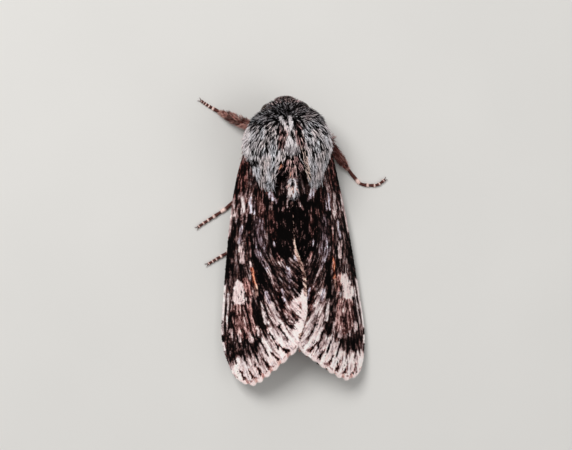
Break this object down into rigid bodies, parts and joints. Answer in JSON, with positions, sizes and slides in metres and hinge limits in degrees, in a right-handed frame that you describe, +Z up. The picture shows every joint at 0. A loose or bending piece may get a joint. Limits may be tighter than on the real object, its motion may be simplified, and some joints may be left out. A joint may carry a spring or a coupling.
{
  "type": "moth",
  "caption": "Shaggy grey-brown noctuid moth at rest on its feet, wings folded like a roof over the body, as a still life-size museum model.",
  "frame": {"origin": "bottom centre of the whole model's box, on the floor that its feet stand on", "axes": "+Y to the head along the body, +X to the moth's right, +Z up out of its back"},
  "size_m": [0.02, 0.03, 0.0088],
  "materials": {
    "fur": "long silvery-grey hair over dark brown",
    "dark_fur": "long dark brown hair with grey tips",
    "forewing": "matt wing scales, dark brown streaked with white, grey and rust",
    "hindwing": "matt pale grey-brown wing scales",
    "leg": "reddish-brown hair, the feet banded with cream",
    "eye": "glossy dark brown, finely faceted",
    "antenna": "matt brown, ringed with pale scales"
  },
  "bodies": {
    "root": {"head": "dark_fur", "collar": "dark_fur", "thorax": "fur", "crest": "fur", "eye_left": "eye", "eye_right": "eye", "palp_left": "dark_fur", "palp_right": "dark_fur", "antenna_left": "antenna", "antenna_right": "antenna", "tegula_left": "fur", "tegula_right": "fur", "forewing_left": "forewing", "forewing_right": "forewing", "hindwing_left": "hindwing", "hindwing_right": "hindwing", "abdomen_front": "dark_fur", "abdomen_middle": "dark_fur", "abdomen_tip": "dark_fur", "foreleg_left_femur": "leg", "foreleg_left_tibia": "leg", "foreleg_left_tarsus": "leg", "foreleg_right_femur": "leg", "foreleg_right_tibia": "leg", "foreleg_right_tarsus": "leg", "midleg_left_femur": "leg", "midleg_left_tibia": "leg", "midleg_left_tarsus": "leg", "midleg_right_femur": "leg", "midleg_right_tibia": "leg", "midleg_right_tarsus": "leg", "hindleg_left_femur": "leg", "hindleg_left_tibia": "leg", "hindleg_left_tarsus": "leg", "hindleg_right_femur": "leg", "hindleg_right_tibia": "leg", "hindleg_right_tarsus": "leg"}
  },
  "joints": []
}
